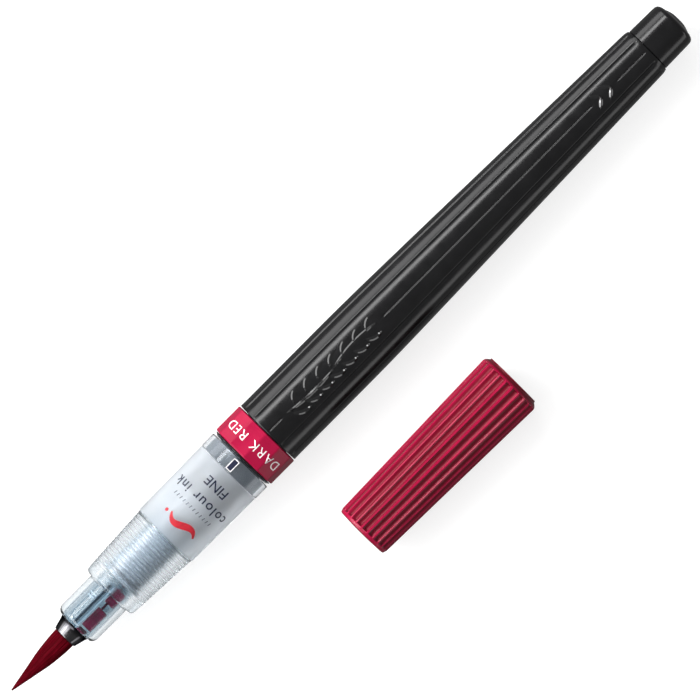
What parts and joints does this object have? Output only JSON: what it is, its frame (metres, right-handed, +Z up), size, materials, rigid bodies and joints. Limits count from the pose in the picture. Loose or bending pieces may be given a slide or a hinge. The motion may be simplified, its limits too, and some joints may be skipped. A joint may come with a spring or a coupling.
{
  "type": "brush pen",
  "caption": "Brush pen with a pointed bristle tip, clear ringed grip, coloured ring, fluted black screw-in ink cartridge barrel and a ribbed cap lying beside it.",
  "frame": {"origin": "on the surface the pen lies on, under the middle of the pen and its cap", "axes": "+X along the pen from brush tip to tail, +Y from the cap towards the pen, +Z up"},
  "size_m": [0.148, 0.033, 0.0121],
  "materials": {
    "bristle": "fine nylon bristles stained dark by ink",
    "ferrule_metal": "polished dark metal",
    "clear_plastic": "clear and lightly frosted moulded plastic",
    "milky_plastic": "translucent milky plastic, satin",
    "black_plastic": "glossy black plastic",
    "burgundy_plastic": "glossy burgundy plastic",
    "seal_rubber": "soft black rubber",
    "ink": "burgundy ink",
    "sponge": "open felt sponge"
  },
  "bodies": {
    "front": {"front_housing": "clear_plastic", "ferrule": "ferrule_metal", "bristle_root": "bristle", "root_clamp_ring": "ferrule_metal", "feed_core": "clear_plastic", "ink_wick": "ink", "feed_tube": "clear_plastic", "flow_sponge": "sponge", "thread_socket": "milky_plastic", "joint_collar": "clear_plastic"},
    "brush": {"bristle_tip": "bristle"},
    "ring": {"colour_ring": "burgundy_plastic", "ring_washer": "black_plastic"},
    "cartridge": {"cartridge_barrel": "black_plastic", "cartridge_neck": "black_plastic", "neck_gasket": "seal_rubber", "neck_plug": "seal_rubber", "ink_charge": "ink", "tail_plug": "black_plastic"},
    "cap": {"cap_shell": "burgundy_plastic", "cap_inner_cup": "burgundy_plastic"}
  },
  "joints": [
    {"name": "brush_flex", "type": "hinge", "parent": "front", "child": "brush", "pos_m": [-0.0622, 0.01047, 0.00607], "axis": [0, 0, 1], "range_deg": [-25, 25], "stiffness_Nm_per_rad": 0.003},
    {"name": "ring_slide", "type": "slide", "parent": "front", "child": "ring", "axis": [1, 0, 0], "range_m": [0, 0.0034]},
    {"name": "cartridge_turn", "type": "hinge", "parent": "ring", "child": "cartridge", "pos_m": [0, 0.01047, 0.00607], "axis": [1, 0, 0], "range_deg": [0, 810]},
    {"name": "cap_slide", "type": "slide", "parent": "front", "child": "cap", "axis": [1, 0, 0], "range_m": [-0.0682, 0]}
  ],
  "couplings": [
    {"joint": "ring_slide", "follows": "cartridge_turn", "m_per_rad": 0.00023873}
  ]
}
